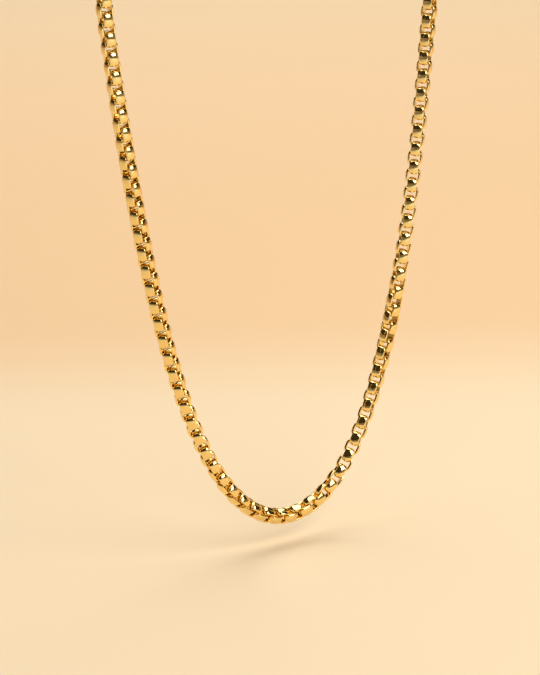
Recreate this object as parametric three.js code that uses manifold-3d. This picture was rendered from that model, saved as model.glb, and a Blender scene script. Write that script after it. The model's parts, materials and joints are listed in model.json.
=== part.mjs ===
// Round box chain necklace with a lobster clasp, hanging closed in the XZ plane.
// The origin is the middle of the clasp, where the necklace rests on the nape. Millimetres, +Z up.

import * as THREE from 'three';
import { mergeVertices } from 'three/addons/utils/BufferGeometryUtils.js';
import Module from 'manifold-3d';

const wasm = await Module();
wasm.setup();

// ---- Driving dimensions ----

// One chain link: a square ring bent from a flat band. Every second link is turned a quarter turn.
// LINK_GAP is the play between two linked bars, SIDE_GAP the room for a band inside the next link's
// ring, and PLATE_GAP the space between the sides of two links that stand the same way.
const CHAIN_WIDTH = 4.0;
const BAND_THICKNESS = 0.7;
const LINK_CORNER = 0.9;
const LINK_GAP = 0.375;
const SIDE_GAP = 0.35;
const PLATE_GAP = 0.55;

// Chain: pieces on each side, and the links in one piece. One more link closes the bottom.
const PIECES_PER_SIDE = 23;
const LINKS_PER_PIECE = 4;
const PAD_WIDTH = 1.0;
const PAD_SINK = 0.15;

// The hanging curve: a catenary below, and an arch over the nape above.
const CATENARY = 16.3;
const ARCH_EASE = 1.15;
const PATH_STEP = 0.25;

// Round-wire rings between the chain and the clasp. END_RING_ROOM is the room that the last link's
// band has in the bore of its ring, and BAR_GAP the space between that band's edges and the wire.
const RING_GAP = 0.25;
const BAR_GAP = 0.1;
const END_RING_WIRE = 0.8;
const END_RING_ROOM = 1.7;
const JUMP_RING_WIRE = 1.0;
const JUMP_RING_BORE = 4.0;
const RING_SIDES = 8;
const RING_STEPS = 16;

// Lobster clasp: a flat hook with an eye, a sprung lever that closes the hook, and a rivet.
const CLASP_REACH = 5.0;
const HEAD_THICKNESS = 3.0;
const HOOK_THICKNESS = 1.9;
const EYE_THICKNESS = 1.8;
const EYE_BORE = 2.2;
const EYE_WALL = 0.9;
const EYE_GAP = 0.4;
const HOOK_BORE = 3.0;
const HOOK_ARM = 1.5;
const HOOK_GAP = 0.4;
const HOOK_TIP_ANGLE = 68;
const HOOK_ROOT = 1.0;
const HEAD_LENGTH = 3.6;
const HEAD_TOP = 2.6;
const HEAD_CORNER = 0.8;
const HEAD_WALL = 0.7;
const LEVER_HEIGHT = 1.1;
const LEVER_WIDTH = 1.6;
const LEVER_GAP = 0.3;
const LEVER_CORNER = 0.3;
const LEVER_NOSE = 0.6;
const TAB_HEIGHT = 1.7;
const TAB_LENGTH = 1.1;
const TAB_FLARE = 0.6;
const RIVET_DIAMETER = 0.9;
const RIVET_GAP = 0.1;
const RIVET_SHARE = 0.45;
const RIVET_SIDES = 12;
const SPRING_ROOM = 1.3;
const SPRING_STRIP = 0.25;
const SPRING_WIDTH = 1.2;
const SPRING_GAP = 0.15;
const SPRING_STEP = 0.6;
const BEVEL = 0.35;
const CURVE_STEPS = 10;

// ---- Materials ----

const gold = (name, color, roughness = 0.12) => {
  const material = new THREE.MeshStandardMaterial({ color, roughness, metalness: 1 });
  material.name = name;
  return material;
};
const chainGold = gold('polished yellow gold', 0xe2a83c);
const ringGold = gold('drawn gold wire', 0xdba238);
const claspGold = gold('cast gold', 0xe0a63a);
const springSteel = gold('spring steel', 0xb9bcc0, 0.3);

// ---- Solids ----

// A closed geometry as a solid that can be joined and cut.
function solid(geometry) {
  const bare = geometry.index ? geometry.toNonIndexed() : geometry.clone();
  for (const name of Object.keys(bare.attributes)) {
    if (name !== 'position') bare.deleteAttribute(name);
  }
  const merged = mergeVertices(bare, 1e-4);
  return new wasm.Manifold(new wasm.Mesh({
    numProp: 3,
    vertProperties: new Float32Array(merged.attributes.position.array),
    triVerts: new Uint32Array(merged.index.array),
  }));
}

// A solid as a geometry again.
function geometryOf(manifold) {
  const mesh = manifold.getMesh();
  const geometry = new THREE.BufferGeometry();
  geometry.setAttribute('position', new THREE.BufferAttribute(new Float32Array(mesh.vertProperties), 3));
  geometry.setIndex(new THREE.BufferAttribute(new Uint32Array(mesh.triVerts), 1));
  geometry.computeVertexNormals();
  return geometry;
}

// A flat outline in X and Z, made solid with its thickness centred on Y.
function plate(shape, thickness, bevel = 0) {
  const geometry = new THREE.ExtrudeGeometry(shape, {
    depth: thickness - 2 * bevel,
    bevelEnabled: bevel > 0,
    bevelThickness: bevel,
    bevelSize: bevel,
    bevelOffset: -bevel,
    bevelSegments: 1,
    curveSegments: CURVE_STEPS,
  });
  geometry.translate(0, 0, bevel - thickness / 2);
  geometry.rotateX(Math.PI / 2);
  return geometry;
}

function outline(points) {
  return new THREE.Shape(points.map(([x, y]) => new THREE.Vector2(x, y)));
}

function disc(x, z, radius) {
  const shape = new THREE.Shape();
  shape.absarc(x, z, radius, 0, 2 * Math.PI);
  return shape;
}

// ---- The hanging curve ----

const linksPerSide = PIECES_PER_SIDE * LINKS_PER_PIECE;
const pitch = 2 * BAND_THICKNESS + LINK_GAP + PLATE_GAP;
const linkLength = 2 * pitch - PLATE_GAP;
const bandWidth = CHAIN_WIDTH - 2 * (BAND_THICKNESS + SIDE_GAP);
const endRingBore = bandWidth + END_RING_ROOM;

// Distances along the curve from its lowest point, out to the clasp.
const lastLinkAt = linksPerSide * pitch;
const lastBarAt = lastLinkAt + linkLength / 2 - BAND_THICKNESS;
const endRingRadius = (endRingBore + END_RING_WIRE) / 2;
const jumpRingRadius = (JUMP_RING_BORE + JUMP_RING_WIRE) / 2;
const endRingAt = lastBarAt + Math.sqrt((endRingBore / 2) ** 2 - (bandWidth / 2) ** 2) - BAR_GAP;
const jumpRingAt = endRingAt + endRingBore / 2 - RING_GAP - JUMP_RING_WIRE / 2 + jumpRingRadius;
const claspAt = jumpRingAt + jumpRingRadius;

// The angle of the curve above level: a catenary that turns over into the arch.
function slopeAt(s, archStart) {
  const hanging = Math.atan(s / CATENARY);
  if (s <= archStart) return hanging;
  const share = ((s - archStart) / (claspAt - archStart)) ** ARCH_EASE;
  return hanging + (Math.PI - hanging) * Math.min(share, 1);
}

function walk(length, archStart) {
  const steps = Math.max(1, Math.ceil(length / PATH_STEP));
  const step = length / steps;
  let x = 0;
  let z = 0;
  for (let i = 0; i < steps; i += 1) {
    const slope = slopeAt((i + 0.5) * step, archStart);
    x += Math.cos(slope) * step;
    z += Math.sin(slope) * step;
  }
  return { x, z };
}

// The arch starts where it has to for the two strands to meet the clasp's two ends.
function findArchStart() {
  let low = 0;
  let high = claspAt;
  for (let i = 0; i < 50; i += 1) {
    const middle = (low + high) / 2;
    if (walk(claspAt, middle).x < CLASP_REACH) low = middle;
    else high = middle;
  }
  return (low + high) / 2;
}

const archStart = findArchStart();
const curveHeight = walk(claspAt, archStart).z;

// A place on the curve: side -1 is the left strand and 1 the right one.
function place(side, s) {
  const { x, z } = walk(s, archStart);
  const slope = slopeAt(s, archStart);
  const position = new THREE.Vector3(side * x, 0, z - curveHeight);
  const along = new THREE.Vector3(side * Math.cos(slope), 0, Math.sin(slope));
  return { position, along };
}

// The matrix that sets a piece down there, with its X along the curve. A crosswise piece has its Y in front.
function frameAt(side, s, crosswise) {
  const { position, along } = place(side, s);
  const front = new THREE.Vector3(0, -1, 0);
  const inward = new THREE.Vector3().crossVectors(front, along);
  const second = crosswise ? front : inward;
  const third = new THREE.Vector3().crossVectors(along, second);
  return new THREE.Matrix4().makeBasis(along, second, third).setPosition(position);
}

// ---- Chain ----

// One link: the ring lies in X and Y, and the band's width is along Z.
function linkGeometry() {
  const endX = linkLength / 2;
  const sideY = CHAIN_WIDTH / 2;
  const shape = outline([
    [endX, sideY - LINK_CORNER], [endX - LINK_CORNER, sideY],
    [LINK_CORNER - endX, sideY], [-endX, sideY - LINK_CORNER],
    [-endX, LINK_CORNER - sideY], [LINK_CORNER - endX, -sideY],
    [endX - LINK_CORNER, -sideY], [endX, LINK_CORNER - sideY],
  ]);
  const holeX = endX - BAND_THICKNESS;
  const holeY = sideY - BAND_THICKNESS;
  shape.holes.push(outline([[holeX, holeY], [holeX, -holeY], [-holeX, -holeY], [-holeX, holeY]]));
  const geometry = new THREE.ExtrudeGeometry(shape, { depth: bandWidth, bevelEnabled: false });
  return geometry.translate(0, 0, -bandWidth / 2);
}

const link = linkGeometry();
const pad = new THREE.BoxGeometry(LINK_GAP + 2 * PAD_SINK, PAD_WIDTH, PAD_WIDTH);

// The last link before the clasp stands crosswise, as does every second one from there.
function linkSolid(side, number) {
  const crosswise = (linksPerSide - number) % 2 === 0;
  return solid(link.clone().applyMatrix4(frameAt(side, number * pitch, crosswise)));
}

function padSolid(side, number) {
  return solid(pad.clone().applyMatrix4(frameAt(side, (number - 0.5) * pitch, false)));
}

// A piece of chain from link `first` to link `last`, its links joined where they bear on each other.
function chainPiece(name, side, first, last) {
  let piece = linkSolid(side, first);
  for (let number = first + 1; number <= last; number += 1) {
    piece = piece.add(padSolid(side, number)).add(linkSolid(side, number));
  }
  const { position } = place(side, (last + 0.5) * pitch);
  const mesh = new THREE.Mesh(geometryOf(piece), chainGold);
  mesh.geometry.translate(-position.x, -position.y, -position.z);
  mesh.position.copy(position);
  mesh.name = name;
  return mesh;
}

// Pieces are numbered down from the clasp. The lowest left piece also holds the middle link.
function strand(sideName, side) {
  const group = new THREE.Group();
  for (let i = 0; i < PIECES_PER_SIDE; i += 1) {
    const last = linksPerSide - i * LINKS_PER_PIECE;
    const takesMiddle = side < 0 && i === PIECES_PER_SIDE - 1;
    const first = takesMiddle ? 0 : last - LINKS_PER_PIECE + 1;
    group.add(chainPiece(`chain_${sideName}_${String(i + 1).padStart(2, '0')}`, side, first, last));
  }
  return group;
}

// ---- Rings ----

// A ring of round wire on the curve. A crosswise ring lies across the plane that the necklace hangs in.
function wireRing(name, side, s, radius, wire, crosswise) {
  const geometry = new THREE.TorusGeometry(radius, wire / 2, RING_SIDES, RING_STEPS);
  const mesh = new THREE.Mesh(geometry, ringGold);
  mesh.applyMatrix4(frameAt(side, s, crosswise));
  mesh.name = name;
  return mesh;
}

// ---- Clasp ----

const eyeX = EYE_BORE / 2 - CLASP_REACH - JUMP_RING_WIRE / 2 - EYE_GAP;
const eyeRadius = EYE_BORE / 2 + EYE_WALL;
const hookX = CLASP_REACH + JUMP_RING_WIRE / 2 + HOOK_GAP - HOOK_BORE / 2;
const hookRadius = HOOK_BORE / 2 + HOOK_ARM;
const headLeft = eyeX + EYE_BORE / 2 + RING_GAP;
const headRight = headLeft + HEAD_LENGTH;
const leverTop = HOOK_BORE / 2;
const leverBottom = leverTop - LEVER_HEIGHT;
const slotFloor = leverBottom - SPRING_ROOM;
const slotWidth = LEVER_WIDTH + LEVER_GAP;
const rivetX = headLeft + HEAD_LENGTH * RIVET_SHARE;
const rivetZ = (leverTop + leverBottom) / 2;
const leverTip = hookX - LEVER_GAP;

// The hook: a lower arm out of the head, and a round end that turns up over the lever's tip.
function hookOutline() {
  const tip = THREE.MathUtils.degToRad(HOOK_TIP_ANGLE);
  const shape = new THREE.Shape();
  shape.moveTo(headLeft + HOOK_ROOT, -hookRadius);
  shape.lineTo(hookX, -hookRadius);
  shape.absarc(hookX, 0, hookRadius, -Math.PI / 2, tip, false);
  shape.absarc(hookX, 0, HOOK_BORE / 2 + LEVER_GAP / 2, tip, -Math.PI / 2, true);
  shape.lineTo(headLeft + HOOK_ROOT, -HOOK_BORE / 2);
  shape.closePath();
  return shape;
}

// The head: the block that joins the eye and the arm and carries the lever.
function headOutline() {
  const cut = HEAD_CORNER;
  return outline([
    [headLeft, cut - hookRadius], [headLeft + cut, -hookRadius], [headRight, -hookRadius],
    [headRight, HEAD_TOP - cut], [headRight - cut, HEAD_TOP], [headLeft + cut, HEAD_TOP],
    [headLeft, HEAD_TOP - cut],
  ]);
}

// The slot in the head that takes the lever's root and the spring.
function slotSolid() {
  const left = headLeft + HEAD_WALL;
  const right = headRight + HEAD_WALL;
  const top = HEAD_TOP + HEAD_WALL;
  const slot = new THREE.BoxGeometry(right - left, slotWidth, top - slotFloor);
  return solid(slot.translate((left + right) / 2, 0, (top + slotFloor) / 2));
}

function rivetSolid(diameter, length) {
  const pin = new THREE.CylinderGeometry(diameter / 2, diameter / 2, length, RIVET_SIDES);
  return solid(pin.translate(rivetX, 0, rivetZ));
}

function claspBody() {
  const eye = solid(plate(disc(eyeX, 0, eyeRadius), EYE_THICKNESS, BEVEL));
  const hook = solid(plate(hookOutline(), HOOK_THICKNESS, BEVEL));
  const head = solid(plate(headOutline(), HEAD_THICKNESS, BEVEL));
  const bore = solid(plate(disc(eyeX, 0, EYE_BORE / 2), 2 * EYE_THICKNESS));
  return eye.add(hook).add(head)
    .subtract(bore)
    .subtract(slotSolid())
    .subtract(rivetSolid(RIVET_DIAMETER + 2 * RIVET_GAP, 2 * HEAD_THICKNESS));
}

// The lever: a bar from the rivet to under the hook's tip, with a thumb tab outside.
function claspLever() {
  const left = headLeft + HEAD_WALL + LEVER_GAP;
  const tabLeft = headRight - TAB_LENGTH;
  const tabTop = leverTop + TAB_HEIGHT;
  const corner = LEVER_CORNER;
  const shape = outline([
    [left + corner, leverBottom], [leverTip - LEVER_NOSE, leverBottom + corner],
    [leverTip, leverTop - corner], [leverTip - corner, leverTop],
    [headRight + TAB_FLARE, leverTop], [headRight, leverTop + TAB_FLARE], [headRight, tabTop],
    [tabLeft + corner, tabTop], [tabLeft - TAB_FLARE, leverTop + corner], [left + corner, leverTop],
    [left, leverTop - corner], [left, leverBottom + corner],
  ]);
  return solid(plate(shape, LEVER_WIDTH, 0))
    .subtract(rivetSolid(RIVET_DIAMETER + 2 * RIVET_GAP, 2 * LEVER_WIDTH));
}

// A leaf spring folded once, between the lever's root and the floor of the slot.
function claspSpring() {
  const left = headLeft + HEAD_WALL + SPRING_GAP;
  const right = headRight - HEAD_WALL;
  const top = leverBottom - SPRING_GAP;
  const floor = slotFloor + SPRING_GAP;
  const strip = SPRING_STRIP;
  const shape = outline([
    [left, floor], [right, floor], [right, floor + strip], [left + strip, floor + strip],
    [left + strip, top - strip], [right - SPRING_STEP, top - strip], [right - SPRING_STEP, top],
    [left, top],
  ]);
  return solid(plate(shape, SPRING_WIDTH, 0));
}

function part(name, manifold, material) {
  const mesh = new THREE.Mesh(geometryOf(manifold), material);
  mesh.name = name;
  return mesh;
}

function clasp() {
  const group = new THREE.Group();
  group.add(part('clasp_body', claspBody(), claspGold));
  group.add(part('clasp_lever', claspLever(), claspGold));
  group.add(part('clasp_rivet', rivetSolid(RIVET_DIAMETER, HEAD_THICKNESS), claspGold));
  group.add(part('clasp_spring', claspSpring(), springSteel));
  return group;
}

// ---- Necklace ----

const necklace = new THREE.Group();
necklace.name = 'chain_necklace';
necklace.add(clasp());
necklace.add(wireRing('jump_ring', -1, jumpRingAt, jumpRingRadius, JUMP_RING_WIRE, true));
necklace.add(wireRing('catch_ring', 1, jumpRingAt, jumpRingRadius, JUMP_RING_WIRE, true));
necklace.add(wireRing('end_ring_left', -1, endRingAt, endRingRadius, END_RING_WIRE, false));
necklace.add(wireRing('end_ring_right', 1, endRingAt, endRingRadius, END_RING_WIRE, false));
necklace.add(strand('left', -1));
necklace.add(strand('right', 1));

export default necklace;
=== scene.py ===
"""Round box chain necklace with a lobster clasp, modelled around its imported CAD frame."""

import json
import math

import bmesh
import bpy
from mathutils import Matrix, Vector


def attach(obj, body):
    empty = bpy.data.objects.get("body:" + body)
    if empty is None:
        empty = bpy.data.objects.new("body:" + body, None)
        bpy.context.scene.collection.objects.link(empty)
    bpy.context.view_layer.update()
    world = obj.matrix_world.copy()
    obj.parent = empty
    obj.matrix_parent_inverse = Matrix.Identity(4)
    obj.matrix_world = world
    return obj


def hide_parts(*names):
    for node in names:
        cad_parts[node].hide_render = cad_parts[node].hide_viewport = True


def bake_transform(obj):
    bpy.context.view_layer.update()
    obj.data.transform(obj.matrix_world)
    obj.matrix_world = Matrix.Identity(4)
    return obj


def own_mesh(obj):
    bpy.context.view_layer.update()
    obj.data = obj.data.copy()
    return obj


bl_info = {
    "name": "Round Box Chain Necklace",
    "version": (1, 0, 0),
    "blender": (4, 5, 0),
    "location": "3D View > Sidebar > Necklace",
    "description": "Models a box chain necklace, its rings and its lobster clasp around the CAD frame",
    "category": "Add Mesh",
}

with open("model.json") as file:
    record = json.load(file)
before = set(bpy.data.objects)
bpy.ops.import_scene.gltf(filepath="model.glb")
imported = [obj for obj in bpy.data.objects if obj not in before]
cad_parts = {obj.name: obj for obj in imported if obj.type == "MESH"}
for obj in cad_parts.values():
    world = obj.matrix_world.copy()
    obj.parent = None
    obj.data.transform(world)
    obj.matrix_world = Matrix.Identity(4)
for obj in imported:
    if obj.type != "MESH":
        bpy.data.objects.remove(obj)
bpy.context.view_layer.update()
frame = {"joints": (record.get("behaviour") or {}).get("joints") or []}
pivots = {joint["name"]: Vector(joint["pos_m"]) for joint in frame["joints"]}

MM = 0.001
FRONT = Vector((0, -1, 0))
SIDES = {"left": -1, "right": 1}

# The hanging loop as the frame has it. Link 0 is the lowest one, and 92 the last below the clasp.
PITCH = 2.325 * MM
LINKS_PER_SIDE = 92
LINKS_PER_PIECE = 4
PIECES_PER_SIDE = LINKS_PER_SIDE // LINKS_PER_PIECE
CATENARY = 16.3 * MM
ARCH_EASE = 1.15
PATH_STEP = 0.25 * MM
CLASP_REACH = 5.0 * MM
END_RING_AT = 216.679 * MM
JUMP_RING_AT = 220.229 * MM
CLASP_AT = 222.729 * MM
HINGE_TOLERANCE = 0.1 * MM


# ---- Settings ----


def size(name, description, millimetres):
    return bpy.props.FloatProperty(
        name=name, description=description, default=millimetres * MM, min=0,
        unit="LENGTH", subtype="DISTANCE", precision=5,
    )


def angle(name, description, degrees):
    return bpy.props.FloatProperty(
        name=name, description=description, default=math.radians(degrees), subtype="ANGLE",
    )


def linear(hex_colour):
    """An sRGB hex colour as linear red, green and blue."""
    parts = [int(hex_colour[i : i + 2], 16) / 255 for i in (1, 3, 5)]
    return tuple(c / 12.92 if c <= 0.04045 else ((c + 0.055) / 1.055) ** 2.4 for c in parts)


def colour(name, description, hex_colour):
    return bpy.props.FloatVectorProperty(
        name=name, description=description, default=linear(hex_colour), min=0, max=1,
        size=3, subtype="COLOR",
    )


class ChainSettings(bpy.types.PropertyGroup):
    link_length: size("Link length", "Outside length of one link", 3.95)
    link_width: size("Link width", "Outside width of one link, which is the chain's width", 3.98)
    band_width: size("Band width", "Width of the band that a link is bent from", 2.36)
    bar_width: size("Bar width", "Width that the band narrows to on the bars that hook together", 1.95)
    thickness: size("Band thickness", "Thickness of the band at its crown", 0.78)
    crown: size("Crown", "How far the band's middle stands above its edges", 0.34)
    corner: size("Corner", "Outside radius of a link's corners", 1.2)
    crease: bpy.props.FloatProperty(
        name="Crease", description="How crisp the band's edges stay", default=0.55, min=0, max=1,
    )
    gold: colour("Chain gold", "Colour of the polished links", "#FDE097")


class RingSettings(bpy.types.PropertyGroup):
    end_wire: size("End ring wire", "Wire of the rings on the chain's ends", 0.8)
    end_bore: size("End ring bore", "Inside width of the rings on the chain's ends", 3.6)
    jump_wire: size("Jump ring wire", "Wire of the rings that the clasp holds", 1.0)
    jump_bore: size("Jump ring bore", "Inside width of the rings that the clasp holds", 4.0)
    seam: size("Seam", "Gap where a ring's two wire ends meet", 0.06)
    gold: colour("Ring gold", "Colour of the drawn wire", "#FADB8E")


class ClaspSettings(bpy.types.PropertyGroup):
    grain: size("Casting grain", "Size of the cast body's softest edge", 0.09)
    head_thickness: size("Head thickness", "Front to back of the head that carries the lever", 3.0)
    lever_width: size("Lever width", "Front to back of the lever", 1.6)
    rivet: size("Rivet", "Diameter of the rivet that the lever turns on", 0.9)
    gold: colour("Clasp gold", "Colour of the cast clasp", "#FBDD90")
    steel: colour("Spring steel", "Colour of the leaf spring", "#C9CBD0")


class StageSettings(bpy.types.PropertyGroup):
    drop: size("Drop", "Height of the lowest link above the floor", 5.5)
    floor_radius: size("Floor radius", "How far out the card floor begins to turn up", 1700)
    cove_radius: size("Cove radius", "How softly the floor turns into the low wall", 300)
    paper: colour("Card", "Colour of the backdrop card around the necklace", "#FCE2BA")
    # The deep card colour is painted shade that darkens the card behind the necklace, and the front card
    # colour is painted light that makes it paler in front.
    deep: colour("Deep card", "Colour that it deepens to behind the necklace", "#F7D0A0")
    front: colour("Front card", "Colour that it fades to in front of the necklace", "#F1EBE0")
    turn: angle("View turn", "Side that the camera stands to", -33.0)
    rise: angle("View rise", "Height that the camera looks down from", 16.5)
    roll: angle("View roll", "Lean of the camera", -1.68)
    distance: size("View distance", "From the camera to the point it looks at", 692.4)
    lens: bpy.props.FloatProperty(
        name="Lens", description="Focal length on a frame 36 mm wide", default=184.7, min=10,
        unit="CAMERA",
    )


SETTINGS = {
    "chain": ChainSettings,
    "rings": RingSettings,
    "clasp": ClaspSettings,
    "stage": StageSettings,
}


def settings(group):
    return getattr(bpy.context.scene, "necklace_" + group)


# ---- The hanging loop ----


def slope_at(s, arch_start):
    """The loop's angle above level at s from its lowest point: a catenary, then the arch."""
    hanging = math.atan(s / CATENARY)
    if s <= arch_start:
        return hanging
    share = ((s - arch_start) / (CLASP_AT - arch_start)) ** ARCH_EASE
    return hanging + (math.pi - hanging) * min(share, 1)


def walk(length, arch_start):
    steps = max(1, math.ceil(length / PATH_STEP))
    slopes = [slope_at((i + 0.5) * length / steps, arch_start) for i in range(steps)]
    x = sum(math.cos(a) for a in slopes) * length / steps
    z = sum(math.sin(a) for a in slopes) * length / steps
    return x, z


def find_arch_start():
    """Where the arch begins, so that the strand meets the clasp's end."""
    low, high = 0, CLASP_AT
    for _ in range(40):
        middle = (low + high) / 2
        if walk(CLASP_AT, middle)[0] < CLASP_REACH:
            low = middle
        else:
            high = middle
    return (low + high) / 2


ARCH_START = find_arch_start()
LOOP_HEIGHT = walk(CLASP_AT, ARCH_START)[1]
LOWEST = Vector((0, 0, -LOOP_HEIGHT))

# How far the chain is turned about its own line: millimetres from the lowest link, and degrees.
TWIST = {
    "left": ((0, 20), (25, 84), (35, 112), (58, 139), (95, 153), (137, 186), (200, 180)),
    "right": (
        (0, 20), (24, -44), (46, -59), (60, -85), (72, -107), (92, -125), (137, -149), (200, -180),
    ),
}


def twist_at(side, s):
    """The chain's turn about its line at s, even between the stated places."""
    places = TWIST[side]
    at = s / MM
    for (a, low), (b, high) in zip(places, places[1:]):
        if at <= b:
            return math.radians(low + (high - low) * max(0, (at - a) / (b - a)))
    return math.radians(places[-1][1])


def seat(side, s, crosswise, twist=0):
    """A piece's matrix on the loop: X along the strand, and Y to the front if it stands crosswise."""
    x, z = walk(s, ARCH_START)
    slope = slope_at(s, ARCH_START)
    sign = SIDES[side]
    along = Vector((sign * math.cos(slope), 0, math.sin(slope)))
    inward = FRONT.cross(along)
    second = FRONT if crosswise else inward
    second = Matrix.Rotation(sign * twist, 3, along) @ second
    third = along.cross(second)
    matrix = Matrix((along, second, third)).transposed().to_4x4()
    matrix.translation = Vector((sign * x, 0, z - LOOP_HEIGHT))
    return matrix


# ---- Modelling ----

WELD = 0.004 * MM
NEAR = 0.01 * MM


def pick(*pieces):
    """Selects these pieces alone, in object mode, with the first one active."""
    if bpy.context.mode != "OBJECT":
        bpy.ops.object.mode_set(mode="OBJECT")
    bpy.ops.object.select_all(action="DESELECT")
    for piece in pieces:
        piece.select_set(True)
    if pieces:
        bpy.context.view_layer.objects.active = pieces[0]


def start(primitive, name, scale=(1, 1, 1), **options):
    """A new primitive with its place, turn and scale in its mesh."""
    pick()
    primitive(**options)
    piece = bpy.context.object
    piece.name = piece.data.name = name
    piece.scale = scale
    bpy.ops.object.transform_apply(location=True, rotation=True, scale=True)
    return piece


def select(piece, kind, test):
    """Selects vertices by their place, edges by centre and direction, or faces by centre and normal."""
    bpy.ops.mesh.select_mode(type=kind)
    bpy.ops.mesh.select_all(action="DESELECT")
    mesh = bmesh.from_edit_mesh(piece.data)
    if kind == "VERT":
        for v in mesh.verts:
            v.select_set(test(v.co))
    elif kind == "EDGE":
        for e in mesh.edges:
            a, b = (v.co for v in e.verts)
            e.select_set(test((a + b) / 2, (b - a).normalized()))
    else:
        mesh.normal_update()
        for f in mesh.faces:
            f.select_set(test(f.calc_center_median(), f.normal))
    mesh.select_flush_mode()
    bmesh.update_edit_mesh(piece.data)


def edit(piece):
    pick(piece)
    bpy.ops.object.mode_set(mode="EDIT")


def push(x=0, y=0, z=0):
    """Extrudes what is selected by that much, in millimetres."""
    bpy.ops.mesh.extrude_region_move(TRANSFORM_OT_translate={"value": (x * MM, y * MM, z * MM)})


def stretch(x=1, y=1, z=1, about=(0, 0, 0)):
    bpy.ops.transform.resize(value=(x, y, z), center_override=about)


def face_out():
    """Turns every face of the piece in edit mode outward, and leaves edit mode."""
    bpy.ops.mesh.select_all(action="SELECT")
    bpy.ops.mesh.normals_make_consistent(inside=False)
    bpy.ops.object.mode_set(mode="OBJECT")


def close():
    """Welds the swept shape in edit mode shut, and leaves edit mode."""
    bpy.ops.mesh.select_mode(type="VERT")
    bpy.ops.mesh.select_all(action="SELECT")
    bpy.ops.mesh.remove_doubles(threshold=WELD)
    bpy.ops.mesh.select_mode(type="FACE")
    bpy.ops.mesh.select_all(action="DESELECT")
    bpy.ops.mesh.select_interior_faces()
    bpy.ops.mesh.delete(type="FACE")
    face_out()


def modify(piece, kind, **options):
    """Adds a modifier and applies it."""
    pick(piece)
    modifier = piece.modifiers.new(kind.title(), kind)
    for name, value in options.items():
        setattr(modifier, name, value)
    bpy.ops.object.modifier_apply(modifier=modifier.name)


def smooth(piece, degrees=None):
    """Shades a piece smooth, but for the edges sharper than this if it is given."""
    pick(piece)
    if degrees:
        bpy.ops.object.shade_smooth_by_angle(angle=math.radians(degrees))
    else:
        bpy.ops.object.shade_smooth()


def finish(piece, material, slot, *nodes):
    piece.data.materials.clear()
    piece.data.materials.append(material)
    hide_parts(*nodes)
    return piece


# ---- Materials ----


def add(tree, kind, links=(), **values):
    """Adds a node, sets its properties and inputs by name, and links (input, socket) pairs to it."""
    node = tree.nodes.new(kind)
    for name, value in values.items():
        if name in node.bl_rna.properties:
            setattr(node, name, value)
        else:
            node.inputs[name.replace("_", " ")].default_value = value
    for name, socket in links:
        tree.links.new(socket, node.inputs[name])
    return node


def mix_colours(tree, factor, first, second):
    """The socket of two mixed colours, each given as a socket or as red, green and blue."""
    mixer = add(tree, "ShaderNodeMix", [("Factor", factor)], data_type="RGBA")
    for place, value in ((6, first), (7, second)):
        if isinstance(value, bpy.types.NodeSocket):
            tree.links.new(value, mixer.inputs[place])
        else:
            mixer.inputs[place].default_value = (*value, 1)
    return mixer.outputs[2]


def metal(name, rgb, roughness, cloud_mm, scratch_mm, scratch_depth, warm=0.04):
    """A polished metal, with a little drift in its colour, clouds in its gloss and fine lines."""
    material = bpy.data.materials.new(name)
    material.use_nodes = True
    tree = material.node_tree
    shader = tree.nodes["Principled BSDF"]
    shader.inputs["Metallic"].default_value = 1
    shader.inputs["Base Color"].default_value = (*rgb, 1)
    place = add(tree, "ShaderNodeTexCoord").outputs["Object"]
    clouds = add(tree, "ShaderNodeTexNoise", [("Vector", place)], Scale=1 / (cloud_mm * MM), Detail=3.0)
    deep = tuple(c * k for c, k in zip(rgb, (1 - warm, 1 - 2.2 * warm, 1 - 4 * warm)))
    tree.links.new(mix_colours(tree, clouds.outputs["Fac"], rgb, deep), shader.inputs["Base Color"])
    gloss = add(
        tree, "ShaderNodeMapRange", [("Value", clouds.outputs["Fac"])],
        From_Min=0.3, From_Max=0.7, To_Min=roughness * 0.75, To_Max=roughness * 1.3,
    )
    tree.links.new(gloss.outputs["Result"], shader.inputs["Roughness"])
    lines = add(tree, "ShaderNodeTexNoise", [("Vector", place)], Scale=1 / (scratch_mm * MM), Detail=2.0)
    bump = add(
        tree, "ShaderNodeBump", [("Height", lines.outputs["Fac"])],
        Strength=scratch_depth, Distance=0.02 * MM,
    )
    tree.links.new(bump.outputs["Normal"], shader.inputs["Normal"])
    return material


# ---- Chain ----


CORNER_NARROWING = 0.7


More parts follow.
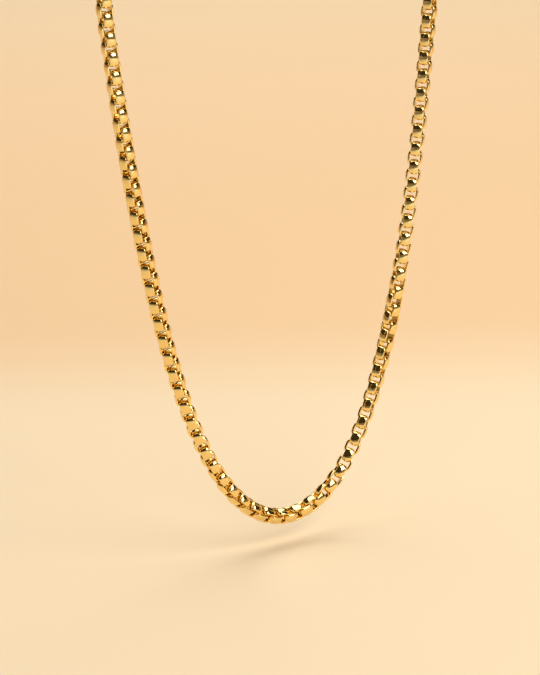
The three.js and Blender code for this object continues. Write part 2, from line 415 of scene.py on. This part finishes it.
def box_link(s):
    """One link at the origin: its length along X, its ring in X and Y, and its band's width along Z.

    The band's section, with its crown, is swept round the ring, straights and corners in turn.
    """
    half_length, half_width = s.link_length / 2, s.link_width / 2
    start_x, start_y = half_length - s.corner, half_width - s.corner
    edge = half_width - s.crown
    inner = half_width - s.thickness
    link = start(
        bpy.ops.mesh.primitive_plane_add, "link_pattern", size=1, rotation=(0, math.pi / 2, 0),
        location=(-start_x, (edge + inner) / 2, 0), scale=(s.band_width, edge - inner, 1),
    )
    edit(link)
    select(link, "EDGE", lambda c, d: c.y > edge - NEAR)
    bpy.ops.mesh.subdivide(number_cuts=1)
    select(link, "VERT", lambda c: c.y > edge - NEAR and abs(c.z) < NEAR)
    bpy.ops.transform.translate(value=(0, s.crown, 0))
    bpy.ops.mesh.select_mode(type="FACE")
    bpy.ops.mesh.select_all(action="SELECT")
    for x, y, run_x, run_y in (
        (start_x, start_y, 2 * start_x, 0),
        (start_x, -start_y, 0, -2 * start_y),
        (-start_x, -start_y, -2 * start_x, 0),
        (-start_x, start_y, 0, 2 * start_y),
    ):
        push(run_x / MM, run_y / MM)
        bpy.ops.mesh.spin(steps=2, angle=math.pi / 2, center=(x, y, 0), axis=(0, 0, 1))
    close()
    edit(link)
    # The band narrows through the corners to the bars that hook together.
    select(link, "VERT", lambda c: abs(c.y) < start_y + NEAR)
    stretch(z=s.bar_width / s.band_width)
    select(link, "VERT", lambda c: abs(c.x) > start_x + NEAR and abs(c.y) >= start_y + NEAR)
    halfway = (s.band_width + s.bar_width) / (2 * s.band_width)
    stretch(z=1 - CORNER_NARROWING * (1 - halfway))
    bpy.ops.mesh.select_mode(type="EDGE")
    bpy.ops.mesh.select_all(action="DESELECT")
    bpy.ops.mesh.edges_select_sharp(sharpness=math.radians(58))
    bpy.ops.transform.edge_crease(value=s.crease)
    bpy.ops.object.mode_set(mode="OBJECT")
    soften = link.modifiers.new("Round off", "SUBSURF")
    soften.levels = soften.render_levels = 2
    # The rounding draws the ring in a little, so it is let out again to its real length and width.
    shape = link.evaluated_get(bpy.context.evaluated_depsgraph_get()).to_mesh()
    reach = [max(abs(v.co[i]) for v in shape.vertices) for i in (0, 1, 2)]
    half_band = s.band_width / 2
    grow = Matrix.Diagonal((half_length / reach[0], half_width / reach[1], half_band / reach[2], 1))
    link.data.transform(grow)
    smooth(link)
    return link


def piece_of(number):
    """The number of the CAD piece that holds a link, counted down from the clasp."""
    return min((LINKS_PER_SIDE - number) // LINKS_PER_PIECE + 1, PIECES_PER_SIDE)


def hang(link, side, number):
    """Hangs a link: at the strand's ends, where there is no hinge to share, it is attached to its
    piece's body; elsewhere the two pieces and the share of the nearer hinge's turn are worked out but
    not used, and the link is left unattached with its place in its mesh.
    """
    at = seat(side, number * PITCH, True).translation
    place = (LINKS_PER_SIDE - number) % LINKS_PER_PIECE
    piece = piece_of(number)
    share = (place + 0.5) / LINKS_PER_PIECE
    if share < 0.5 and piece > 1 and number > 0:
        above, below, share = piece - 1, piece, share + 0.5
    elif share > 0.5 and piece < PIECES_PER_SIDE:
        above, below, share = piece, piece + 1, share - 0.5
    else:
        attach(link, f"chain_{side}_{piece:02d}")
        return
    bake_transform(link)


class NECKLACE_OT_links(bpy.types.Operator):
    """Model one box link, and hang a copy of it at every place along the loop"""

    bl_idname = "necklace.links"
    bl_label = "Chain links"

    def execute(self, context):
        s = settings("chain")
        # Yellow gold, tumbled and polished: bright and warm, and orange where gold mirrors gold.
        gold = metal(
            "polished_yellow_gold", s.gold, 0.09, cloud_mm=2.5, scratch_mm=0.12, scratch_depth=0.12,
        )
        pattern = box_link(s)
        for side in SIDES:
            for number in range(0 if side == "left" else 1, LINKS_PER_SIDE + 1):
                crosswise = (LINKS_PER_SIDE - number) % 2 == 0
                link = pattern.copy()
                link.data = pattern.data.copy()
                link.name = link.data.name = f"link_{side}_{number:02d}"
                bpy.context.collection.objects.link(link)
                twist = twist_at(side, number * PITCH)
                link.data.transform(seat(side, number * PITCH, crosswise, twist))
                finish(link, gold, "chain_gold", f"chain_{side}_{piece_of(number):02d}")
                hang(link, side, number)
        bpy.data.objects.remove(pattern)
        return {"FINISHED"}


# ---- Rings ----

WIRE_END_CORNER = 0.06 * MM
SEAM_TURN = math.radians(70)


def wire_ring(name, bore, wire, seam):
    """A ring of round wire in X and Y, bent round until its two ends nearly meet."""
    radius = (bore + wire) / 2
    ring = start(
        bpy.ops.mesh.primitive_circle_add, name, vertices=16, radius=wire / 2, fill_type="NGON",
        rotation=(math.pi / 2, 0, 0), location=(radius, 0, 0),
    )
    edit(ring)
    bpy.ops.mesh.select_mode(type="FACE")
    bpy.ops.mesh.select_all(action="SELECT")
    bpy.ops.mesh.spin(
        steps=56, angle=2 * math.pi - seam / radius, center=(0, 0, 0), axis=(0, 0, 1),
    )
    face_out()
    edit(ring)
    bpy.ops.mesh.select_mode(type="EDGE")
    bpy.ops.mesh.select_all(action="DESELECT")
    bpy.ops.mesh.edges_select_sharp(sharpness=math.radians(60))
    bpy.ops.mesh.bevel(offset=WIRE_END_CORNER, segments=2)
    bpy.ops.object.mode_set(mode="OBJECT")
    smooth(ring, 50)
    return ring


class NECKLACE_OT_rings(bpy.types.Operator):
    """Bend the end rings on the chain and the two rings that the clasp holds"""

    bl_idname = "necklace.rings"
    bl_label = "Rings"

    def execute(self, context):
        s = settings("rings")
        # Drawn gold wire, bright from the die, with a butt joint left by the pliers.
        gold = metal(
            "drawn_gold_wire", s.gold, 0.11, cloud_mm=3, scratch_mm=0.15, scratch_depth=0.15,
        )
        for side, jump in (("left", "jump_ring"), ("right", "catch_ring")):
            for name, at, bore, wire, crosswise in (
                (jump, JUMP_RING_AT, s.jump_bore, s.jump_wire, True),
                (f"end_ring_{side}", END_RING_AT, s.end_bore, s.end_wire, False),
            ):
                ring = wire_ring(name + "_wire", bore, wire, s.seam)
                # The seam is turned to the ring's free side, away from what hooks through it.
                ring.data.transform(Matrix.Rotation(SEAM_TURN, 4, "Z"))
                ring.data.transform(seat(side, at, crosswise))
                finish(ring, gold, "ring_gold", name)
                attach(ring, name)
        return {"FINISHED"}


# ---- Clasp ----

# Places in the clasp, in millimetres from its middle: X from the eye to the hook, and Z up.
EYE_X = -4.8
EYE_RADIUS = 1.56
EYE_SECTION = (0.92, 1.8)
HEAD_LEFT, HEAD_RIGHT = -3.45, 0.15
HEAD_TOP, HEAD_BOTTOM = 2.6, -3.0
HOOK_X = 4.4
HOOK_BORE = 3.0
HOOK_ARM = 1.5
HOOK_THICKNESS = 1.9
HOOK_RADIUS = (HOOK_BORE + HOOK_ARM) / 2
HOOK_ROOT = HEAD_RIGHT - 2.2
HOOK_STEPS = 8
HOOK_STEP = 19
LEVER_TOP, LEVER_BOTTOM = 1.5, 0.4
LEVER_LEFT, TAB_LEFT = -2.42, -0.95
SLOT_LEFT, SLOT_FLOOR, SLOT_HALF_WIDTH = -2.75, -0.9, 0.95
RIVET_X, RIVET_Z = -1.83, 0.95


def mm(*values):
    return tuple(v * MM for v in values)


def recast(piece, grain):
    """Runs a piece's surface anew at that grain, as a casting's skin runs over its parts."""
    pick(piece)
    piece.data.remesh_voxel_size = grain
    bpy.ops.object.voxel_remesh()


def clasp_eye():
    """The eye: an oval section spun right round the hole for the jump ring."""
    eye = start(
        bpy.ops.mesh.primitive_circle_add, "clasp_casting", vertices=16, radius=0.5, fill_type="NGON",
        location=mm(EYE_X + EYE_RADIUS, 0, 0), scale=mm(*EYE_SECTION, 1),
    )
    edit(eye)
    bpy.ops.mesh.select_all(action="SELECT")
    # It stops a hair short of a full turn, and the casting's grain closes the slit.
    bpy.ops.mesh.spin(
        steps=36, angle=2 * math.pi - 0.01, center=mm(EYE_X, 0, 0), axis=(0, 1, 0),
    )
    face_out()
    return eye


def clasp_head(s):
    """The head: a block with soft corners, waisted towards the eye."""
    head = start(
        bpy.ops.mesh.primitive_cube_add, "clasp_head", size=1,
        location=mm((HEAD_LEFT + HEAD_RIGHT) / 2, 0, (HEAD_TOP + HEAD_BOTTOM) / 2),
        scale=((HEAD_RIGHT - HEAD_LEFT) * MM, s.head_thickness, (HEAD_TOP - HEAD_BOTTOM) * MM),
    )
    edit(head)
    select(head, "FACE", lambda c, n: n.x < -0.9)
    stretch(y=0.82, z=0.8)
    select(head, "EDGE", lambda c, d: abs(d.x) < 0.9 or abs(c.z) > 2 * MM)
    bpy.ops.mesh.bevel(offset=0.7 * MM, segments=3)
    bpy.ops.object.mode_set(mode="OBJECT")
    return head


def clasp_hook():
    """The hook: the arm runs out of the head, turns up round the opening and thins to a blunt tip."""
    hook = start(
        bpy.ops.mesh.primitive_circle_add, "clasp_hook", vertices=16, radius=0.5, fill_type="NGON",
        rotation=(0, math.pi / 2, 0), location=mm(HOOK_ROOT, 0, -HOOK_RADIUS),
        scale=mm(HOOK_ARM, HOOK_THICKNESS, 1),
    )
    edit(hook)
    bpy.ops.mesh.select_all(action="SELECT")
    push(x=HOOK_X - HOOK_ROOT)
    for step in range(1, HOOK_STEPS + 1):
        bpy.ops.mesh.spin(
            steps=2, angle=math.radians(HOOK_STEP), center=mm(HOOK_X, 0, 0), axis=(0, 1, 0),
        )
        if step > HOOK_STEPS / 2:
            a = math.radians(HOOK_STEP * step - 90)
            about = mm(HOOK_X + HOOK_RADIUS * math.cos(a), 0, HOOK_RADIUS * math.sin(a))
            stretch(0.94, 0.94, 0.94, about)
    face_out()
    return hook


def carve(piece, name, low, high):
    """Cuts a box-shaped slot from one corner to the other, in millimetres."""
    cutter = start(
        bpy.ops.mesh.primitive_cube_add, name, size=1,
        location=mm(*((a + b) / 2 for a, b in zip(low, high))),
        scale=mm(*(b - a for a, b in zip(low, high))),
    )
    modify(piece, "BOOLEAN", operation="DIFFERENCE", solver="EXACT", object=cutter, use_self=True)
    bpy.data.objects.remove(cutter)


class NECKLACE_OT_clasp_body(bpy.types.Operator):
    """Cast the clasp's body in one: the eye, the head with the lever's slot, and the hook"""

    bl_idname = "necklace.clasp_body"
    bl_label = "Clasp body"

    def execute(self, context):
        s = settings("clasp")
        # Investment-cast gold, tumbled smooth: soft edges, and a hazier gloss than the chain.
        gold = metal(
            "cast_polished_gold", s.gold, 0.13, cloud_mm=4, scratch_mm=0.2, scratch_depth=0.2,
        )
        body, head, hook = clasp_eye(), clasp_head(s), clasp_hook()
        pick(body, head, hook)
        bpy.ops.object.join()
        recast(body, s.grain)
        carve(
            body, "lever_slot",
            (SLOT_LEFT, -SLOT_HALF_WIDTH, SLOT_FLOOR), (HEAD_RIGHT + 1, SLOT_HALF_WIDTH, HEAD_TOP + 1),
        )
        recast(body, s.grain)
        modify(body, "SMOOTH", factor=0.5, iterations=6)
        smooth(body)
        finish(body, gold, "clasp_gold", "clasp_body")
        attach(body, "clasp")
        return {"FINISHED"}


class NECKLACE_OT_clasp_lever(bpy.types.Operator):
    """Shape the sprung lever: a bar from the rivet to the hook's tip, and its thumb tab"""

    bl_idname = "necklace.clasp_lever"
    bl_label = "Clasp lever"

    def execute(self, context):
        s = settings("clasp")
        # The same cast gold as the body, a little glossier all over, as thumbs rub it.
        gold = metal(
            "thumb_polished_gold", s.gold, 0.1, cloud_mm=2, scratch_mm=0.15, scratch_depth=0.18,
        )
        lever = start(
            bpy.ops.mesh.primitive_cube_add, "clasp_lever_casting", size=1,
            location=mm((LEVER_LEFT + TAB_LEFT) / 2, 0, (LEVER_TOP + LEVER_BOTTOM) / 2),
            scale=((TAB_LEFT - LEVER_LEFT) * MM, s.lever_width, (LEVER_TOP - LEVER_BOTTOM) * MM),
        )
        edit(lever)
        select(lever, "FACE", lambda c, n: n.x > 0.9)
        push(x=HEAD_RIGHT - TAB_LEFT)
        # The bar thins towards the hook's tip.
        push(x=2.0)
        stretch(y=0.92, z=0.85, about=mm(0, 0, LEVER_TOP))
        push(x=1.2)
        stretch(y=0.85, z=0.8, about=mm(0, 0, LEVER_TOP))
        push(x=0.7)
        stretch(y=0.8, z=0.55, about=mm(0, 0, LEVER_TOP - 0.1))
        select(lever, "FACE", lambda c, n: n.z > 0.9 and TAB_LEFT * MM < c.x < HEAD_RIGHT * MM)
        # The thumb tab stands up out of the slot, and flares before its rounded top.
        push(z=0.7)
        stretch(x=0.8, about=mm(HEAD_RIGHT, 0, 0))
        push(z=0.6)
        stretch(x=1.2, about=mm(HEAD_RIGHT, 0, 0))
        push(z=0.38)
        stretch(x=0.75, y=0.8, about=mm(-0.3, 0, 0))
        bpy.ops.object.mode_set(mode="OBJECT")
        modify(
            lever, "BEVEL", width=0.14 * MM, segments=3, limit_method="ANGLE",
            angle_limit=math.radians(30),
        )
        smooth(lever, 40)
        finish(lever, gold, "clasp_gold", "clasp_lever")
        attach(lever, "lever")
        return {"FINISHED"}


class NECKLACE_OT_clasp_rivet(bpy.types.Operator):
    """Turn the rivet that the lever swings on, with its two peened heads"""

    bl_idname = "necklace.clasp_rivet"
    bl_label = "Clasp rivet"

    def execute(self, context):
        s = settings("clasp")
        # Gold wire, its ends hammered over into low domes.
        gold = metal(
            "peened_gold", s.gold, 0.16, cloud_mm=1, scratch_mm=0.1, scratch_depth=0.35,
        )
        half = s.head_thickness / 2
        rivet = start(
            bpy.ops.mesh.primitive_cylinder_add, "clasp_rivet_pin", vertices=32,
            radius=s.rivet / 2, depth=2 * half,
            rotation=(math.pi / 2, 0, 0), location=mm(RIVET_X, 0, RIVET_Z),
        )
        for way in (-1, 1):
            about = (RIVET_X * MM, way * half, RIVET_Z * MM)
            edit(rivet)
            select(rivet, "FACE", lambda c, n: n.y * way > 0.9)
            for out, wide in ((0.0, 1.45), (0.06, 1.0), (0.05, 0.86), (0.04, 0.62)):
                push(y=way * out)
                stretch(wide, 1, wide, about)
            bpy.ops.object.mode_set(mode="OBJECT")
        smooth(rivet, 35)
        finish(rivet, gold, "clasp_gold", "clasp_rivet")
        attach(rivet, "clasp")
        return {"FINISHED"}


class NECKLACE_OT_clasp_spring(bpy.types.Operator):
    """Fold the leaf spring that shuts the lever"""

    bl_idname = "necklace.clasp_spring"
    bl_label = "Clasp spring"

    def execute(self, context):
        s = settings("clasp")
        # Hard-rolled steel strip: a grey satin with the rolls' fine grain.
        steel = metal(
            "rolled_spring_steel", s.steel, 0.28, cloud_mm=1, scratch_mm=0.08, scratch_depth=0.3, warm=0,
        )
        strip, width = 0.22, 1.2
        left, right, low, high = -2.6, -0.55, -0.75, 0.25
        bend = (high - low - strip) / 2
        middle = (high + low) / 2
        fold = left + strip / 2 + bend
        spring = start(
            bpy.ops.mesh.primitive_cube_add, "clasp_spring_leaf", size=1,
            location=mm((fold + right) / 2, 0, low + strip / 2), scale=mm(right - fold, width, strip),
        )
        edit(spring)
        select(spring, "FACE", lambda c, n: n.x < -0.9)
        bpy.ops.mesh.spin(
            steps=14, angle=-math.pi, center=mm(fold, 0, middle), axis=(0, 1, 0),
        )
        push(x=right - 0.6 - fold)
        close()
        modify(
            spring, "BEVEL", width=0.03 * MM, segments=2, limit_method="ANGLE",
            angle_limit=math.radians(40),
        )
        smooth(spring, 40)
        finish(spring, steel, "spring_steel", "clasp_spring")
        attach(spring, "clasp")
        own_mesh(spring)
        return {"FINISHED"}


# ---- Stage ----

COVE_STEPS = 12
FLAT_RING = 1.05
COVE_LIP = 120
# Where the card's painted shade and painted light change, in metres behind the necklace: from none to
# all of the change.
PAINTED_SHADE_FROM, PAINTED_SHADE_BACK, PAINTED_LIGHT_FADE = (0.1, 0.21), (1.2, 0.28), (-0.09, -0.24)
# The point that the camera and the lights look at, from the lowest link.
LOOK_AT = (-4.26 * MM, 0, 48.03 * MM)


def view_axes(s):
    """The camera's right, up and back, as unit vectors."""
    flat = math.cos(s.rise)
    back = Vector((math.sin(s.turn) * flat, -math.cos(s.turn) * flat, math.sin(s.rise)))
    right = Vector((0, 0, 1)).cross(back).normalized()
    up = back.cross(right)
    lean = Matrix.Rotation(s.roll, 3, back)
    return lean @ right, lean @ up, back


def backdrop(s, floor_z):
    """A round card floor that coves up into a low wall all round, well outside every view."""
    card = start(
        bpy.ops.mesh.primitive_circle_add, "backdrop_card", vertices=96, radius=s.floor_radius,
        fill_type="NGON", location=(0, 0, floor_z),
    )
    edit(card)
    select(card, "EDGE", lambda c, d: Vector((c.x, c.y)).length > 0.9 * s.floor_radius)
    # A flat ring first, so that the floor's own shading stays level right up to the cove.
    push()
    stretch(x=FLAT_RING, y=FLAT_RING)
    reach = FLAT_RING * s.floor_radius
    for step in range(1, COVE_STEPS + 1):
        a = math.pi / 2 * step / COVE_STEPS
        out = FLAT_RING * s.floor_radius + s.cove_radius * math.sin(a)
        rise = s.cove_radius * (math.cos(a - math.pi / 2 / COVE_STEPS) - math.cos(a))
        push(z=rise / MM)
        stretch(x=out / reach, y=out / reach)
        reach = out
    push(z=COVE_LIP)
    # The extrusions carry a copy of the floor's face up with the rim, as a lid.
    top = floor_z + s.cove_radius
    select(card, "FACE", lambda c, n: c.z > top and Vector((c.x, c.y)).length < s.cove_radius)
    bpy.ops.mesh.delete(type="ONLY_FACE")
    bpy.ops.object.mode_set(mode="OBJECT")
    smooth(card)
    return card


def card_with_painted_shading(s):
    """Matt card with a fine tooth, painted darker behind the necklace as painted shade and paler in
    front as painted light.
    """
    material = bpy.data.materials.new("matt_card_with_painted_shading")
    material.use_nodes = True
    tree = material.node_tree
    shader = tree.nodes["Principled BSDF"]
    shader.inputs["Roughness"].default_value = 0.85
    shader.inputs["Specular IOR Level"].default_value = 0.2
    place = add(tree, "ShaderNodeTexCoord").outputs["Object"]
    squared = add(tree, "ShaderNodeMapping", [("Vector", place)], Rotation=(0, 0, -s.turn))
    depth = add(tree, "ShaderNodeSeparateXYZ", [("Vector", squared.outputs["Vector"])])
    begins, ends, fades = (
        add(
            tree, "ShaderNodeMapRange", [("Value", depth.outputs["Y"])],
            interpolation_type="SMOOTHSTEP", From_Min=none, From_Max=full,
        ).outputs["Result"]
        for none, full in (PAINTED_SHADE_FROM, PAINTED_SHADE_BACK, PAINTED_LIGHT_FADE)
    )
    # The card is painted darker behind the necklace, as painted shade, and paler in front, as painted
    # light.
    painted_shade_share = add(tree, "ShaderNodeMath", [(0, begins), (1, ends)], operation="MULTIPLY")
    shade = mix_colours(tree, painted_shade_share.outputs["Value"], s.paper, s.deep)
    tree.links.new(mix_colours(tree, fades, shade, s.front), shader.inputs["Base Color"])
    tooth = add(tree, "ShaderNodeTexNoise", [("Vector", place)], Scale=900.0, Detail=3.0)
    bump = add(
        tree, "ShaderNodeBump", [("Height", tooth.outputs["Fac"])],
        Strength=0.15, Distance=0.1 * MM,
    )
    tree.links.new(bump.outputs["Normal"], shader.inputs["Normal"])
    return material


def softbox(name, place, aim, side, power):
    """A square soft light at a place, turned to what it is aimed at."""
    light = bpy.data.lights.new(name, "AREA")
    light.shape = "RECTANGLE"
    light.size = light.size_y = side
    light.energy = power
    lamp = bpy.data.objects.new(name, light)
    bpy.context.collection.objects.link(lamp)
    lamp.location = place
    lamp.rotation_euler = (place - aim).to_track_quat("Z", "Y").to_euler()


class NECKLACE_OT_stage(bpy.types.Operator):
    """Set the card floor, the soft lights and the camera"""

    bl_idname = "necklace.stage"
    bl_label = "Stage, lights and camera"

    def execute(self, context):
        s = settings("stage")
        right, up, back = view_axes(s)
        floor_z = LOWEST.z - settings("chain").link_width / 2 - s.drop
        card = backdrop(s, floor_z)
        card.data.materials.append(card_with_painted_shading(s))

        aim = LOWEST + Vector(LOOK_AT)
        flat_back = Vector((back.x, back.y, 0)).normalized()
        high = Vector((0, 0, 1))
        softbox("key_softbox", aim + 0.62 * right + 0.55 * flat_back + 0.62 * high, aim, 0.8, 8)
        softbox("top_softbox", aim - 0.35 * flat_back + 1.2 * high, aim - 0.3 * flat_back, 1.0, 9)
        softbox("rear_softbox", aim - 1.1 * flat_back + 1.0 * high, aim - 1.0 * flat_back, 1.2, 7)

        world = bpy.data.worlds.new("studio")
        world.use_nodes = True
        surround = world.node_tree.nodes["Background"]
        surround.inputs["Color"].default_value = (*linear("#4A4030"), 1)
        surround.inputs["Strength"].default_value = 0.6
        context.scene.world = world
        context.scene.view_settings.view_transform = "Standard"

        camera = bpy.data.objects.new("camera", bpy.data.cameras.new("camera"))
        bpy.context.collection.objects.link(camera)
        turned = Matrix((right, up, back)).transposed().to_4x4()
        camera.matrix_world = Matrix.Translation(aim + s.distance * back) @ turned
        camera.data.sensor_fit = "HORIZONTAL"
        camera.data.sensor_width = 36
        camera.data.lens = s.lens
        camera.data.clip_start = 0.01
        context.scene.camera = camera
        return {"FINISHED"}


# ---- Add-on ----

OPERATORS = (
    NECKLACE_OT_links,
    NECKLACE_OT_rings,
    NECKLACE_OT_clasp_body,
    NECKLACE_OT_clasp_lever,
    NECKLACE_OT_clasp_rivet,
    NECKLACE_OT_clasp_spring,
    NECKLACE_OT_stage,
)


class NECKLACE_PT_panel(bpy.types.Panel):
    """The necklace's sizes, colours and pieces"""

    bl_idname = "NECKLACE_PT_panel"
    bl_label = "Necklace"
    bl_space_type = "VIEW_3D"
    bl_region_type = "UI"
    bl_category = "Necklace"

    def draw(self, context):
        for group in SETTINGS:
            box = self.layout.box()
            box.label(text=group.title())
            for name in SETTINGS[group].__annotations__:
                box.prop(settings(group), name)
        for operator in OPERATORS:
            self.layout.operator(operator.bl_idname)


CLASSES = (*SETTINGS.values(), *OPERATORS, NECKLACE_PT_panel)


def register():
    for item in CLASSES:
        bpy.utils.register_class(item)
    for group, kind in SETTINGS.items():
        setattr(bpy.types.Scene, "necklace_" + group, bpy.props.PointerProperty(type=kind))


def unregister():
    for group in SETTINGS:
        delattr(bpy.types.Scene, "necklace_" + group)
    for item in reversed(CLASSES):
        bpy.utils.unregister_class(item)


def check_hinges():
    """Stops if the loop drawn here has left the hinges that the frame gives it."""
    for side in SIDES:
        for piece in range(2, PIECES_PER_SIDE + 1):
            above = LINKS_PER_SIDE - LINKS_PER_PIECE * (piece - 1) + 0.5
            hinge = seat(side, above * PITCH, True).translation
            if (pivots[f"chain_bend_{piece:02d}_{side}"] - hinge).length > HINGE_TOLERANCE:
                raise RuntimeError(f"the {side} strand is off the frame's hinge {piece}")


def main():
    register()
    bpy.ops.necklace.stage()
    bpy.ops.necklace.links()
    bpy.ops.necklace.rings()
    bpy.ops.necklace.clasp_body()
    bpy.ops.necklace.clasp_lever()
    bpy.ops.necklace.clasp_rivet()
    bpy.ops.necklace.clasp_spring()
    check_hinges()


if __name__ == "__main__":
    main()
